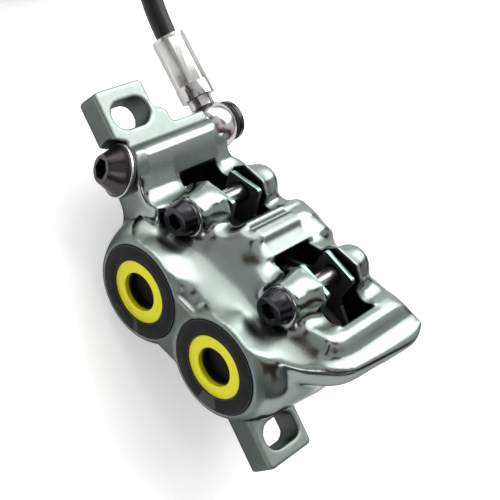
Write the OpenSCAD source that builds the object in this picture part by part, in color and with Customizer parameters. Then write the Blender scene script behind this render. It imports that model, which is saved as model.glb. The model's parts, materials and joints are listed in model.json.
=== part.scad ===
// Four-piston bicycle disc brake caliper for two posts 74 mm apart.
// The origin is halfway between the two ear slots, on the face that sits on the posts.
// +X runs towards the low ear, +Y from the capped side to the blind side, +Z along the mounting bolts.
// The body leans on its ears: its own frame has x along the pistons' line and z towards the rotor's rim.

/* [Ears and mounting] */
// Distance between the two mounting slots
slot_spacing = 74; // [72:0.5:76]
// Thickness of an ear
ear_t = 6.4; // [5:0.1:7]
// Distance from a slot's centre to the ear's end
ear_end = 6.3; // [5:0.1:7]
// Width of an ear on the capped side of the slots
ear_near = 7.0; // [6:0.1:7.6]
// Width of an ear on the blind side of the slots
ear_far = 6.2; // [5.6:0.1:7]
// Width of a mounting slot
slot_w = 6.2; // [6.1:0.1:6.8]
// Length of a mounting slot from end to end
slot_len = 10; // [9:0.1:10.6]

/* [Body] */
// Lean of the body on its ears, in degrees
lean = 31.5; // [29:0.5:33]
// Offset of the rotor's mid plane from the mounting slots
rotor_y = 10.4; // [9.8:0.1:11]
// Distance from the rotor's mid plane to the capped face
near_half = 23.9; // [23:0.1:25]
// Distance from the rotor's mid plane to the blind face
far_half = 21.8; // [21:0.1:23.5]
// Radius of the flat flange round a cap
flange_r = 11.5; // [11.2:0.1:12]
// Radius of the barrel beside the flange
barrel_near_r = 14.4; // [13.8:0.1:15]
// Radius of the barrel at its fullest
barrel_far_r = 17.6; // [17:0.1:18]
// Radius of the barrel at the high end
barrel_high_r = 14.6; // [14.4:0.1:15]

/* [Rotor and pads] */
// Distance from the pistons' line down to the rotor's centre
rotor_drop = 77.8; // [74:0.2:82]
// Radius of the largest rotor that the body clears
rotor_r = 90; // [88:0.5:90.5]
// Width of the slot that the rotor runs in
rotor_slot_w = 4.4; // [3.6:0.1:5]
// Width of the pad cavity across the rotor
cavity_w = 10.8; // [10.6:0.1:11.2]
// Width of a pad's friction lining along the rotor
lining_w = 19.6; // [18.5:0.1:20]
// Thickness of a new lining
lining_t = 2.2; // [2:0.1:2.3]
// Thickness of a pad's backing plate
plate_t = 1.2; // [1:0.1:1.3]
// Width of the hanging tab on a backing plate
tab_w = 9; // [8:0.1:9.6]
// Gap between the two linings when the pistons are pushed back
rotor_gap = 2.6; // [2.5:0.1:2.8]

/* [Pistons and caps] */
// Distance between the two pistons of one side
piston_spacing = 23; // [22.8:0.1:23.4]
// Diameter of a piston
piston_d = 17; // [16:0.1:17.2]
// Length of a piston
piston_len = 11.4; // [10.5:0.1:12]
// Radial running gap round a piston
piston_gap = 0.05; // [0.04:0.01:0.08]
// Diameter of a bore cap
cap_d = 20.8; // [20:0.1:21]
// Depth of the seat that a bore cap screws into
cap_t = 4.4; // [3.8:0.1:5]
// Outer diameter of the bright ring in a cap
ring_d = 14; // [13:0.1:14.4]
// Hole through the bright ring
ring_hole_d = 8.6; // [8:0.1:9]
// Thickness of the bright ring
ring_t = 1.2; // [1:0.1:1.5]
// Width of a piston seal
seal_w = 2.2; // [2:0.1:2.4]
// Radial depth of a piston seal
seal_h = 1.6; // [1.3:0.1:1.7]
// Diameter of the magnet in a piston
magnet_d = 9; // [8:0.1:10]
// Thickness of the magnet in a piston
magnet_t = 2; // [1.6:0.1:2.4]

/* [Pad bolts] */
// Distance from a piston's axis up to its pad bolt
bolt_rise = 15.5; // [15.2:0.1:15.8]
// Diameter of a pad bolt's shank
bolt_d = 4; // [3.6:0.1:4.2]
// Diameter of a pad bolt's head at its seat
bolt_head_d = 9; // [8.4:0.1:9.2]
// Diameter of a pad bolt's head at its face
bolt_face_d = 5.8; // [5.4:0.1:6.4]
// Height of a pad bolt's head
bolt_head_h = 3.4; // [3:0.1:3.6]
// Key size of a pad bolt's socket
bolt_key = 3; // [2.5:0.1:3.2]

/* [Bleed screw and banjo] */
// Distance of the cross bore from the mounting slots' middle, along X
port_x = 28.6; // [28.4:0.1:29.2]
// Height of the cross bore over the mounting face
port_z = 2; // [1.6:0.1:2.4]
// Radius of the block round the cross bore
block_r = 6.8; // [6.5:0.1:7]
// Diameter of the bleed screw's head at its washers
bleed_d = 11.4; // [11:0.1:11.8]
// Diameter of the bleed screw's head at its face
bleed_face_d = 6; // [5.6:0.1:6.6]
// Angle at which the bleed screw points away from the cross bore, seen from above
bleed_tilt = 22.7; // [20:0.1:24]
// Diameter of the banjo's round eye
eye_d = 11.2; // [10.8:0.1:11.6]
// Thickness of the banjo's eye between its sealing rings
eye_t = 7.8; // [7.4:0.1:8.2]
// Diameter of the banjo bolt's shank
banjo_bolt_d = 6; // [5.8:0.1:6.2]
// Diameter of the banjo bolt's head
banjo_head_d = 9.2; // [8.8:0.1:9.6]

/* [Hose] */
// Outer diameter of the brake hose
hose_d = 5; // [4.8:0.1:5.1]
// Diameter of the crimped sleeve
sleeve_d = 7.9; // [7.6:0.1:8]
// Length of the crimped sleeve
sleeve_len = 12.1; // [11:0.1:12.6]
// Tilt of the hose below the mounting plane's line, in degrees
hose_tilt = 3; // [2:0.5:3]

/* [Hidden] */
$fn = 64;

// Round measures that several pieces share
big = 200;
eps = 0.01;
fit_gap = 0.03;
body_x = 7.4;
body_z = 5.7;

// Places across the rotor, along Y
near_face = rotor_y - near_half;
far_face = rotor_y + far_half;
near_wall = rotor_y - cavity_w / 2;
far_wall = rotor_y + cavity_w / 2;
cap_seat = near_face + cap_t;
piston_x = piston_spacing / 2;
piston_r = piston_d / 2;
bore_r = piston_r + piston_gap;
pad_back = rotor_gap / 2 + lining_t + plate_t;
bore_end = far_face - 3.6;

// Pads stand on lines through the rotor's centre
pad_turn = atan(piston_x / rotor_drop);
bolt_x = piston_x + bolt_rise * sin(pad_turn);
bolt_z = bolt_rise * cos(pad_turn);
bolt_r = bolt_d / 2;

// The top of the body: windows, lugs, hollows and ribs
window_out = 24.2;
window_in_upper = -6.7;
window_in_lower = 4.6;
lug_face = near_wall - 7.9;
lug_end = far_wall + 7;
lug_r = 4.4;
lug_face_r = bolt_head_d / 2 + 1.4;
hollow_r = 3.2;
hollow_out = [21.3, 17.0];
hollow_in = [7.9, 18.3];
deck_z = 15.4;
arch_r = 20;
arch_y = rotor_y + 1.8;
arch_z = -3;
trough_r = 11;
deck_trough = 21.3;
bridge_trough = 19;
corner_x = 17.5;
corner_y = 4;
waist = 7.6;
under_bridge = 13.2;
underside = -11.8;

// The block round the cross bore, in the body's frame
port_dx = -port_x - body_x;
port_dz = port_z - body_z;
block_x = port_dx * cos(lean) + port_dz * sin(lean);
block_z = port_dz * cos(lean) - port_dx * sin(lean);
bleed_seat = -6.3;
bleed_shank_r = 2.5;
bleed_len = 7.3;
bleed_x = -26.7;
bleed_z = 2.9;
banjo_tip = 9.6;
banjo_seat = 18.9;

// Turns a point that a shape starts from into the body's frame
module body_frame() {
    translate([body_x, 0, body_z]) rotate([0, -lean, 0]) children();
}

// Extrudes an outline drawn in x and z from y0 to y1
module across(y0, y1) {
    translate([0, y1, 0]) rotate([90, 0, 0]) linear_extrude(y1 - y0) children();
}

// Extrudes an outline drawn in y and z from x0 to x1
module along(x0, x1) {
    translate([x0, 0, 0]) rotate([90, 0, 90]) linear_extrude(x1 - x0) children();
}

// Turns an outline drawn in radius and y about an axis along Y
module spun() {
    rotate([-90, 0, 0]) rotate_extrude() children();
}

// A straight rod or bore along Y
module rod(y0, y1, r) {
    across(y0, y1) circle(r = r);
}

// A cone along Y
module cone(y0, y1, r0, r1) {
    translate([0, y0, 0]) rotate([-90, 0, 0]) cylinder(h = y1 - y0, r1 = r0, r2 = r1);
}

// A ring along Y
module ring(y0, y1, r_out, r_in) {
    across(y0, y1) difference() {
        circle(r = r_out);
        circle(r = r_in);
    }
}

// A six-sided key socket along Y, across its flats
module key_socket(y0, y1, key) {
    across(y0, y1) circle(r = key / 2 / cos(30), $fn = 6);
}

// The point where a line from p touches a circle round c, on the side that the sign gives
function touch(c, r, p, side) =
    let(d = norm(p - c), a = atan2(p[1] - c[1], p[0] - c[0]) + side * acos(r / d))
    [c[0] + r * cos(a), c[1] + r * sin(a)];

// The point where the common tangent of two circles leaves the first, on the side the sign gives
function rim(c0, r0, c1, r1, side) =
    let(d = norm(c1 - c0), a = atan2(c1[1] - c0[1], c1[0] - c0[0]) + side * acos((r0 - r1) / d))
    [c0[0] + r0 * cos(a), c0[1] + r0 * sin(a)];

// Two circles and the straight band between them
module band(c0, r0, c1, r1) {
    translate(c0) circle(r = r0);
    translate(c1) circle(r = r1);
    polygon([rim(c0, r0, c1, r1, 1), rim(c1, r1, c0, r0, -1), rim(c1, r1, c0, r0, 1), rim(c0, r0, c1, r1, -1)]);
}

// Extrudes an outline drawn in x and y through the whole height
module upright() {
    translate([0, 0, -big]) linear_extrude(2 * big) children();
}

// High end: block, sloping top down to the first window and the hollow flank under the block
module high_outline() {
    block = [block_x, block_z];
    window_edge = [-window_out, 15.4];
    flank = [-33.4, 2.0];
    flank_r = 7;
    difference() {
        polygon([touch(block, block_r, window_edge, 1), window_edge, [-17, 15.4], [-piston_x, 0],
            flank, block]);
        translate(flank) circle(r = flank_r);
        valley(-1);
    }
}

// The two hollows at the foot of a lug
module valley(s) {
    translate([s * hollow_out[0], hollow_out[1]]) circle(r = hollow_r);
    translate([s * hollow_in[0], hollow_in[1]]) circle(r = hollow_r);
}

// Deck that carries the lugs, between the window ends
module deck_outline() {
    difference() {
        translate([-window_out, 0]) square([2 * window_out, deck_z]);
        for (s = [-1, 1]) valley(s);
    }
}

// Middle bridge: two ribs, the groove between them and the sloping shelf before the low window
module bridge_outline() {
    rib_r = 2.1;
    groove_r = 1.3;
    difference() {
        union() {
            translate([-4.0, 16.2]) circle(r = rib_r);
            translate([0.6, 16.9]) circle(r = rib_r);
            polygon([[window_in_upper - 1, 8], [window_in_upper, 15.4], [-5.2, 17.4], [2.0, 18.6],
                [window_in_lower, 17.4], [window_in_lower + 1, 8]]);
        }
        translate([-1.9, 18.7]) circle(r = groove_r);
        valley(-1);
        translate([hollow_in[0], hollow_in[1]]) circle(r = hollow_r);
    }
}

// Low end: one rib on the bridge, a groove, a second rib and the end wall
module end_outline() {
    difference() {
        union() {
            translate([26.0, 13.0]) circle(r = 2.2);
            translate([30.8, 9.8]) circle(r = 2.2);
            polygon([[window_out - 1, 0], [window_out - 1, 14.5], [window_out + 0.3, 14.9], [27.2, 14.4], [31.6, 11.8], [33.0, 9.4],
                [31.8, 7.6], [28.8, 4], [27.4, 0]]);
        }
        translate([29.7, 13.4]) circle(r = 1.5);
    }
}

// Section across the rotor over the pistons, with a hollow behind the capped flange
module deck_section() {
    intersection() {
        union() {
            translate([arch_y, arch_z]) circle(r = arch_r, $fn = 96);
            translate([near_face, -big]) square([arch_y - near_face, big + arch_r + arch_z]);
            translate([near_face, -big]) square([far_face - near_face, big + arch_z]);
        }
        translate([near_face, -big]) square([far_face - near_face, 2 * big]);
    }
}

// Cuts the hollow that runs behind the flange, at a height of its own
module trough(z) {
    translate([near_face + 4, z]) circle(r = trough_r);
}

// Section of the middle bridge
module bridge_section() {
    near_r = 4.6;
    far_r = 9;
    near_y = 5.2;
    far_y = 18;
    top = 18.7;
    translate([near_y, top - near_r]) circle(r = near_r);
    translate([far_y, top - far_r]) circle(r = far_r);
    translate([near_y, 0]) square([far_y - near_y, top]);
    translate([near_face, 0]) square([far_y + far_r - near_face, top - far_r]);
    translate([near_y - near_r, 0]) square([near_r, top - near_r]);
}

// Section of the low end
module end_section() {
    far_r = 8.2;
    far_y = 19.2;
    top = 15.2;
    translate([far_y, top - far_r]) circle(r = far_r);
    translate([near_face, 0]) square([far_y - near_face, top]);
    translate([near_face, 0]) square([far_y + far_r - near_face, top - far_r]);
}

// Plan of the low end, narrow at the capped side and rounded at both corners
module end_plan() {
    near = [17, 5];
    near_r = 14.7;
    far = [23.4, 20];
    far_r = 9.5;
    band(near, near_r, far, far_r);
    translate([0, near_face]) square([near[0], far_face - near_face]);
    translate([0, near[1]]) square([far[0], far[1] + far_r - near[1]]);
}

// Plan of the high end, flared at the blind side
module high_plan() {
    polygon([[-50, bleed_seat], [-14, bleed_seat], [-14, 21.5], [-24, 21.5], [-33, 17.5], [-50, 17.5]]);
}

// One piston barrel: flat flange, rounded shoulder, gentle cone and a rounded blind end
module barrel(far_r) {
    shoulder = near_face + 5.4;
    full = far_face - 8.2;
    end_round = 8;
    spun() intersection() {
        union() {
            polygon([[0, near_face], [flange_r - 0.5, near_face], [flange_r, near_face + 0.5],
                [flange_r + 1.6, near_face + 2.6], [barrel_near_r, shoulder], [far_r, full],
                [far_r, far_face - end_round], [0, far_face - end_round]]);
            translate([0, full]) square([far_r - end_round, far_face - full]);
            translate([far_r - end_round, far_face - end_round]) circle(r = end_round);
        }
        translate([0, near_face]) square([big, far_face - near_face]);
    }
}

// Everything solid in the body's frame before the cuts
module body_mass() {
    difference() {
        intersection() {
            union() {
                translate([-piston_x, 0, 0]) barrel(barrel_high_r);
                translate([piston_x, 0, 0]) barrel(barrel_far_r);
                across(near_face, far_face) translate([-piston_x, -waist]) square([piston_spacing, 2 * waist]);
                intersection() {
                    across(bleed_seat, far_face) deck_outline();
                    upright() deck_plan();
                }
            }
            along(-big, big) deck_section();
        }
        along(-big, big) trough(deck_trough);
    }
    for (s = [-1, 1]) translate([s * piston_x, 0, 0]) rod(near_face + 0.5, cap_seat + 1.5, flange_r);
    difference() {
        intersection() {
            across(bleed_seat, far_face) bridge_outline();
            along(-big, big) bridge_section();
        }
        along(-big, big) trough(bridge_trough);
    }
    difference() {
        intersection() {
            union() {
                across(corner_y, far_face) end_outline();
                translate([corner_x, corner_y, 0]) rotate([0, 0, -90]) rotate_extrude(angle = 90)
                    translate([-corner_x, 0]) end_outline();
            }
            along(-big, big) end_section();
            upright() end_plan();
        }
        along(-big, big) trough(deck_trough);
    }
    intersection() {
        across(bleed_seat, far_face) high_outline();
        upright() high_plan();
    }
    for (s = [-1, 1]) translate([s * bolt_x, 0, bolt_z]) lugs();
    cross_block();
}

// Plan of the deck, with the low corner rounded at the capped side
module deck_plan() {
    translate([-window_out, near_face]) square([window_out + corner_x, far_face - near_face]);
    translate([corner_x - 1, corner_y]) square([window_out - corner_x + 1, far_face - corner_y]);
    translate([corner_x, corner_y]) circle(r = window_out - corner_x);
}

// The underside is cut level, but the low ear's root stays round
module body_keep() {
    translate([-big, underside]) square([2 * big, big]);
    translate([13, underside - 1.2]) square([big, big]);
}

// Near and far boss of one pad bolt
module lugs() {
    dome = 2.6;
    cone(lug_face, near_wall + eps, lug_face_r, lug_r);
    spun() intersection() {
        union() {
            translate([0, far_wall - eps]) square([lug_r, lug_end - dome - far_wall + eps]);
            translate([0, far_wall - eps]) square([lug_r - dome, lug_end - far_wall]);
            translate([lug_r - dome, lug_end - dome]) circle(r = dome);
        }
        translate([0, far_wall - eps]) square(2 * lug_end);
    }
}

// Block at the high end, bored across for the bleed screw and the banjo bolt
module cross_block() {
    corner = 1.6;
    translate([block_x, 0, block_z]) {
        spun() intersection() {
            union() {
                translate([0, bleed_seat]) square([block_r, banjo_seat - corner - bleed_seat]);
                square([block_r - corner, banjo_seat]);
                translate([block_r - corner, banjo_seat - corner]) circle(r = corner);
            }
            translate([0, bleed_seat]) square([block_r, banjo_seat - bleed_seat]);
        }
    }
}

// Pad windows, the cavity under the bridge and the rotor's slot
module pad_space() {
    floor_z = -big;
    across(near_wall, far_wall) {
        translate([-window_out, floor_z]) square([2 * window_out, under_bridge - floor_z]);
        translate([-window_out, 0]) square([window_out + window_in_upper, big]);
        translate([window_in_lower, 0]) square([window_out - window_in_lower, big]);
    }
    translate([0, 0, -rotor_drop])
        rod(rotor_y - rotor_slot_w / 2, rotor_y + rotor_slot_w / 2, rotor_r + 1, $fn = 180);
}

// Bores, seal grooves and cap seats of the four pistons
module piston_bores() {
    groove_r = piston_r + seal_h + 0.1;
    lip = 2.4;
    for (s = [-1, 1]) translate([s * piston_x, 0, 0]) {
        rod(near_face - 1, near_wall + 1, bore_r);
        rod(near_face - 1, cap_seat, cap_d / 2 + fit_gap);
        rod(far_wall - 1, bore_end, bore_r);
        rod(near_wall - lip - seal_w - 0.1, near_wall - lip, groove_r);
        rod(far_wall + lip, far_wall + lip + seal_w + 0.1, groove_r);
    }
}

// Holes for the pad bolts, with room for their heads
module bolt_holes() {
    for (s = [-1, 1]) translate([s * bolt_x, 0, bolt_z]) {
        rod(lug_face - 1, lug_end - 1.2, bolt_r + fit_gap);
        rod(cap_seat + 0.4, lug_face, bolt_head_d / 2 + 0.8);
    }
}

// Cross bore and the drilled ducts that join the bores
module fluid_ways() {
    duct_r = 1;
    drop = atan2(block_z, -block_x - piston_x);
    reach = norm([block_x + piston_x, block_z]) - piston_r + 1;
    translate([block_x, 0, block_z]) {
        rod(near_wall - 2.8, banjo_tip + eps, 2);
        rod(banjo_tip, banjo_seat + 1, banjo_bolt_d / 2 + fit_gap);
        for (y = [near_wall - 1.8, far_wall + 1.7]) translate([0, y, 0])
            rotate([0, 90 + drop, 0]) cylinder(h = reach, r = duct_r);
    }
    for (y = [near_wall - 7, far_wall + 6.5]) translate([-piston_x, y, 0])
        rotate([0, 90, 0]) cylinder(h = piston_spacing, r = duct_r);
}

// Flat ear seen along the mounting bolts, with rounded corners
module ear_outline(from, to, near, far) {
    corner = 1.2;
    x0 = min(from, to);
    x1 = max(from, to);
    difference() {
        translate([x0, -near]) square([x1 - x0, near + far]);
        for (y = [-near, far]) {
            sy = sign(y);
            sx = sign(to - from);
            translate([to - sx * corner, y - sy * corner]) corner_cut(sx, sy, corner);
        }
    }
}

// The bit outside a rounded corner
module corner_cut(sx, sy, r) {
    difference() {
        scale([sx, sy]) square(r + 1);
        circle(r = r);
    }
}

// Neck that widens the high ear into the block, an S curve in plan
module neck_outline() {
    root_x = -port_x - 3.8;
    step_y = ear_far + 3.3;
    bend_x = -slot_spacing / 2 + 0.8;
    out_r = 2;
    in_r = 1.7;
    fillet_r = 0.9;
    difference() {
        union() {
            translate([bend_x - in_r, 0]) square([root_x - bend_x + in_r + 1, ear_far + in_r]);
            translate([bend_x + out_r, step_y - out_r]) circle(r = out_r);
            translate([bend_x + out_r, 0]) square([root_x + 3 - bend_x, step_y]);
            translate([bend_x + out_r, step_y - eps]) square([root_x + 1 - bend_x - out_r, 9]);
        }
        translate([bend_x - in_r, ear_far + in_r]) circle(r = in_r);
        translate([root_x - fillet_r, step_y + fillet_r]) circle(r = fillet_r);
        translate([root_x - 10, step_y + fillet_r]) square([10, big]);
        translate([root_x - 10 - fillet_r, step_y]) square([10, big]);
    }
}

// Both ears with their slots
module ears() {
    half = slot_spacing / 2;
    linear_extrude(ear_t) {
        ear_outline(-port_x, -half - ear_end, ear_near, ear_far);
        ear_outline(body_x + 14, half + ear_end - 0.2, ear_near, ear_far + 0.2);
        neck_outline();
    }
}

// A slot across the line of the two bolts
module slot_cut(x) {
    r = slot_w / 2;
    straight = slot_len - slot_w;
    translate([x, 0, -1]) linear_extrude(ear_t + 20) {
        for (s = [-1, 1]) translate([0, s * straight / 2]) circle(r = r);
        square([slot_w, straight], center = true);
    }
}

// What the mill takes off round the ears: their top and under faces run out to the body
module ear_faces() {
    step_x = -port_x - 1.7;
    wall_x = -port_x - 3.8;
    across(-big, big) {
        polygon([[-big, -big], [-big, big], [step_x + 1.6, big], [step_x + 1.6, ear_t + 2.3], [step_x, ear_t],
            [wall_x, ear_t], [wall_x, -big]]);
        translate([body_x + 13, -big]) square([big, big]);
    }
}

module caliper_body() {
    color([0.72, 0.75, 0.74]) difference() {
        union() {
            difference() {
                body_frame() intersection() {
                    body_mass();
                    across(-big, big) body_keep();
                }
                ear_faces();
                bleed_frame() translate([-bleed_d, -6, -big]) cube([bleed_d, 6, 2 * big]);
            }
            ears();
        }
        body_frame() {
            pad_space();
            piston_bores();
            bolt_holes();
            fluid_ways();
        }
        bleed_frame() {
            rod(-6, 0, bleed_d / 2 + 0.5);
            rod(-1, bleed_len, bleed_shank_r + fit_gap);
            rod(bleed_len - eps, bleed_len + 4, 1);
        }
        translate([-port_x, 0, port_z]) rod(banjo_seat, far_face, eye_d / 2 + 0.4);
        for (s = [-1, 1]) slot_cut(s * slot_spacing / 2);
    }
}

// Screwed cap that closes a bore, with the pocket for its ring and a blind socket
module bore_cap(s) {
    pocket_t = ring_t + 0.3;
    socket_t = 1.6;
    color([0.2, 0.2, 0.22]) body_frame() translate([s * piston_x, 0, 0]) difference() {
        union() {
            rod(near_face, cap_seat, cap_d / 2);
            rod(cap_seat - eps, cap_seat + 1.2, bore_r - fit_gap);
        }
        rod(near_face - 1, near_face + pocket_t, ring_d / 2 + fit_gap);
        rod(near_face, near_face + pocket_t + socket_t, ring_hole_d / 2 - 0.4);
        ring(cap_seat - 1.3, cap_seat + eps, cap_d / 2 + 1, cap_d / 2 - 0.8);
    }
}

// Bright ring in the cap's pocket
module cap_ring(s) {
    color([0.83, 0.85, 0.05]) body_frame() translate([s * piston_x, 0, 0])
        ring(near_face + 0.3, near_face + 0.3 + ring_t, ring_d / 2, ring_hole_d / 2);
}

// Sealing ring under each cap's rim
module cap_seals() {
    color([0.08, 0.08, 0.08]) body_frame() for (s = [-1, 1]) translate([s * piston_x, 0, 0])
        ring(cap_seat - 1.25, cap_seat - 0.05, cap_d / 2, cap_d / 2 - 0.75);
}

// Cup piston: side is -1 for the capped half and 1 for the blind half, s the place along the body
module piston(side, s) {
    front = pad_back;
    wall = 1.7;
    floor_t = 3.4;
    color([0.55, 0.56, 0.58]) body_frame() translate([s * piston_x, rotor_y, 0]) scale([1, side, 1])
        difference() {
            rod(front, front + piston_len, piston_r);
            rod(front + floor_t, front + piston_len + 1, piston_r - wall);
            rod(front - 1, front + magnet_t, magnet_d / 2 + fit_gap);
        }
}

// Magnet that holds the pad's plate
module magnet(side, s) {
    color([0.35, 0.35, 0.37]) body_frame() translate([s * piston_x, rotor_y, 0]) scale([1, side, 1])
        rod(pad_back, pad_back + magnet_t, magnet_d / 2);
}

// The four square seals in their grooves
module piston_seals() {
    lip = 2.4;
    color([0.1, 0.1, 0.1]) body_frame() for (s = [-1, 1]) translate([s * piston_x, 0, 0]) {
        ring(near_wall - lip - seal_w - 0.05, near_wall - lip - 0.05, piston_r + seal_h, piston_r + 0.02);
        ring(far_wall + lip + 0.05, far_wall + lip + seal_w + 0.05, piston_r + seal_h, piston_r + 0.02);
    }
}

// Places a pad's outline: u runs along the rotor, w away from the rotor's centre
module pad_frame(s) {
    translate([s * piston_x, 0, 0]) rotate([0, s * pad_turn, 0]) children();
}

module plate_outline() {
    half = lining_w / 2 + 0.5;
    shoulder = 8.2;
    low = -9;
    top = bolt_rise + 2.9;
    neck = tab_w / 2;
    corner = 1;
    difference() {
        union() {
            polygon([[-half + 2, low], [half - 2, low], [half, low + 3], [half, shoulder], [neck + 1, shoulder + 2.8],
                [neck, shoulder + 4], [neck, top], [-neck, top], [-neck, shoulder + 4], [-neck - 1, shoulder + 2.8],
                [-half, shoulder], [-half, low + 3]]);
        }
        translate([0, bolt_rise]) circle(r = bolt_r + 0.1);
        for (sx = [-1, 1]) translate([sx * (neck - corner), top - corner]) corner_cut(sx, 1, corner);
    }
}

// Backing plate with the tab that hangs on the bolt
module pad_plate(side, s) {
    y0 = rotor_gap / 2 + lining_t;
    color([0.12, 0.14, 0.14]) body_frame() translate([0, rotor_y, 0]) scale([1, side, 1])
        pad_frame(s) across(y0, y0 + plate_t) plate_outline();
}

module lining_outline() {
    half = lining_w / 2;
    low = -8.5;
    top = 8.4;
    polygon([[-half + 2.4, low], [half - 2.4, low], [half, low + 3], [half, top - 1.4], [half - 1.6, top],
        [-half + 1.6, top], [-half, top - 1.4], [-half, low + 3]]);
}

// Friction lining bonded on a plate
module pad_lining(side, s) {
    y0 = rotor_gap / 2;
    color([0.18, 0.17, 0.16]) body_frame() translate([0, rotor_y, 0]) scale([1, side, 1])
        pad_frame(s) across(y0, y0 + lining_t) lining_outline();
}

// The two pad bolts, each through both lugs of its window
module pad_bolts() {
    face = lug_face - bolt_head_h;
    rim = 0.6;
    key_depth = 2;
    color([0.1, 0.1, 0.1]) body_frame() for (s = [-1, 1]) translate([s * bolt_x, 0, bolt_z]) difference() {
        union() {
            rod(lug_face - eps, lug_end - 1.6, bolt_r);
            rod(lug_face - rim, lug_face, bolt_head_d / 2);
            cone(face, lug_face - rim + eps, bolt_face_d / 2, bolt_head_d / 2 - 0.1);
        }
        key_socket(face - 1, face + key_depth, bolt_key);
    }
}

// Bleed screw with its tapered head, on the capped side of the cross bore
// Frame of the bleed screw: its y axis runs into the block from the seat
module bleed_frame() {
    translate([bleed_x, bleed_seat, bleed_z]) rotate([0, 0, -bleed_tilt]) children();
}

module bleed_screw() {
    seat = -1.1;
    rim = seat - 0.3;
    foot = seat - 0.8;
    face = seat - 3.9;
    color([0.16, 0.15, 0.15]) bleed_frame() difference() {
        union() {
            rod(seat - eps, bleed_len - 0.2, bleed_shank_r);
            rod(rim, seat, bleed_d / 2 - 0.15);
            cone(foot, rim + eps, bleed_d / 2 - 0.75, bleed_d / 2 - 0.3);
            cone(face, foot + eps, bleed_face_d / 2, bleed_d / 2 - 0.75);
        }
        key_socket(face - 1, face + 2.4, 4);
    }
}

module bleed_washer() {
    color([0.8, 0.8, 0.8]) bleed_frame() ring(-1.1, -0.6, bleed_d / 2, bleed_shank_r + fit_gap);
}

module bleed_seal() {
    color([0.05, 0.05, 0.05]) bleed_frame() ring(-0.6, 0, bleed_d / 2 + 0.05, bleed_shank_r + fit_gap);
}

// Banjo: places along the cross bore's axis and along the hose
seal_t = 0.5;
eye_mid = banjo_seat + seal_t + eye_t / 2;
neck_r = 2.85;
collar_at = 7.2;
sleeve_at = 10.5;
mouth_at = sleeve_at + sleeve_len;

// Frame of the hose: z runs out along the hose from the eye's centre
module hose_frame() {
    translate([-port_x, eye_mid, port_z]) rotate([0, -90 - hose_tilt, 0]) children();
}

module banjo_fitting() {
    color([0.72, 0.68, 0.62]) {
        difference() {
            union() {
                translate([-port_x, 0, port_z]) intersection() {
                    translate([0, eye_mid, 0]) rotate([90, 0, 0]) sphere(r = eye_d / 2);
                    rod(eye_mid - eye_t / 2, eye_mid + eye_t / 2, eye_d / 2);
                }
                hose_frame() cylinder(h = collar_at, r = neck_r, $fn = 8);
                hose_frame() translate([0, 0, collar_at]) cylinder(h = sleeve_at - collar_at, r = 4.05);
            }
            translate([-port_x, 0, port_z]) rod(0, 40, banjo_bolt_d / 2 + fit_gap);
            translate([-port_x, 0, port_z]) rod(eye_mid - 1.2, eye_mid + 1.2, banjo_bolt_d / 2 + 0.6);
            hose_frame() cylinder(h = collar_at + 2, r = 0.8);
            hose_frame() translate([0, 0, collar_at + 1]) cylinder(h = 5, r = 1.2 + fit_gap);
        }
    }
}

// Hollow bolt: the fluid runs through its core, its waist and the cross holes
module banjo_bolt() {
    head = banjo_seat + eye_t + 2 * seal_t;
    core_r = 1.1;
    waist_y = [16.2, 18.7];
    color([0.16, 0.16, 0.17]) translate([-port_x, 0, port_z]) difference() {
        union() {
            rod(banjo_tip, head + eps, banjo_bolt_d / 2);
            rod(head, head + 1.2, banjo_head_d / 2);
            cone(head + 1.2 - eps, head + 2.2, banjo_head_d / 2, banjo_head_d / 2 - 1.1);
        }
        key_socket(head + 0.4, head + 4, 4);
        rod(banjo_tip - 1, eye_mid + core_r, core_r);
        ring(waist_y[0], waist_y[1], banjo_bolt_d, banjo_bolt_d / 2 - 0.7);
        for (y = [far_wall + 1.7, eye_mid]) translate([0, y, 0])
            rotate([0, 90, 0]) cylinder(h = 9, r = core_r - 0.2, center = true);
    }
}

module banjo_inner_seal() {
    color([0.75, 0.75, 0.74]) translate([-port_x, 0, port_z])
        ring(banjo_seat, banjo_seat + seal_t, 4.4, banjo_bolt_d / 2 + fit_gap);
}

module banjo_outer_seal() {
    y0 = banjo_seat + seal_t + eye_t;
    color([0.1, 0.1, 0.1]) translate([-port_x, 0, port_z])
        ring(y0, y0 + seal_t, 4.4, banjo_bolt_d / 2 + fit_gap);
}

// Sleeve crimped on the hose, with eight pressed flats
module crimp_sleeve() {
    flat = sleeve_d / 2 - 0.22;
    lip = 0.8;
    color([0.78, 0.78, 0.76]) hose_frame() translate([0, 0, sleeve_at]) difference() {
        union() {
            linear_extrude(sleeve_len - lip) intersection() {
                circle(r = sleeve_d / 2);
                circle(r = flat / cos(22.5), $fn = 8);
            }
            translate([0, 0, sleeve_len - lip - eps]) cylinder(h = lip, r = sleeve_d / 2 - 0.1);
        }
        translate([0, 0, -1]) cylinder(h = sleeve_len + 2, r = hose_d / 2 + fit_gap);
    }
}

// Thin tube pressed in the hose's end
module hose_barb() {
    color([0.75, 0.62, 0.3]) hose_frame() translate([0, 0, collar_at + 1.2]) difference() {
        cylinder(h = 12, r = 1.2);
        translate([0, 0, -1]) cylinder(h = 14, r = 0.7);
    }
}

// The hose's route from the sleeve's mouth to the start of the coil
hose_r = hose_d / 2;
coil_x = -106;
coil_y = 8;
coil_low = -12;
coil_turn = 5.5;
coil_in = 22.45;
coil_lead = 2;
laps_total = 5.5;
layers = 4;
layer_laps = laps_total / layers;
coil_out = coil_in + layer_laps * coil_turn;
coil_high = coil_low + (layers - 1) * coil_turn;

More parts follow.
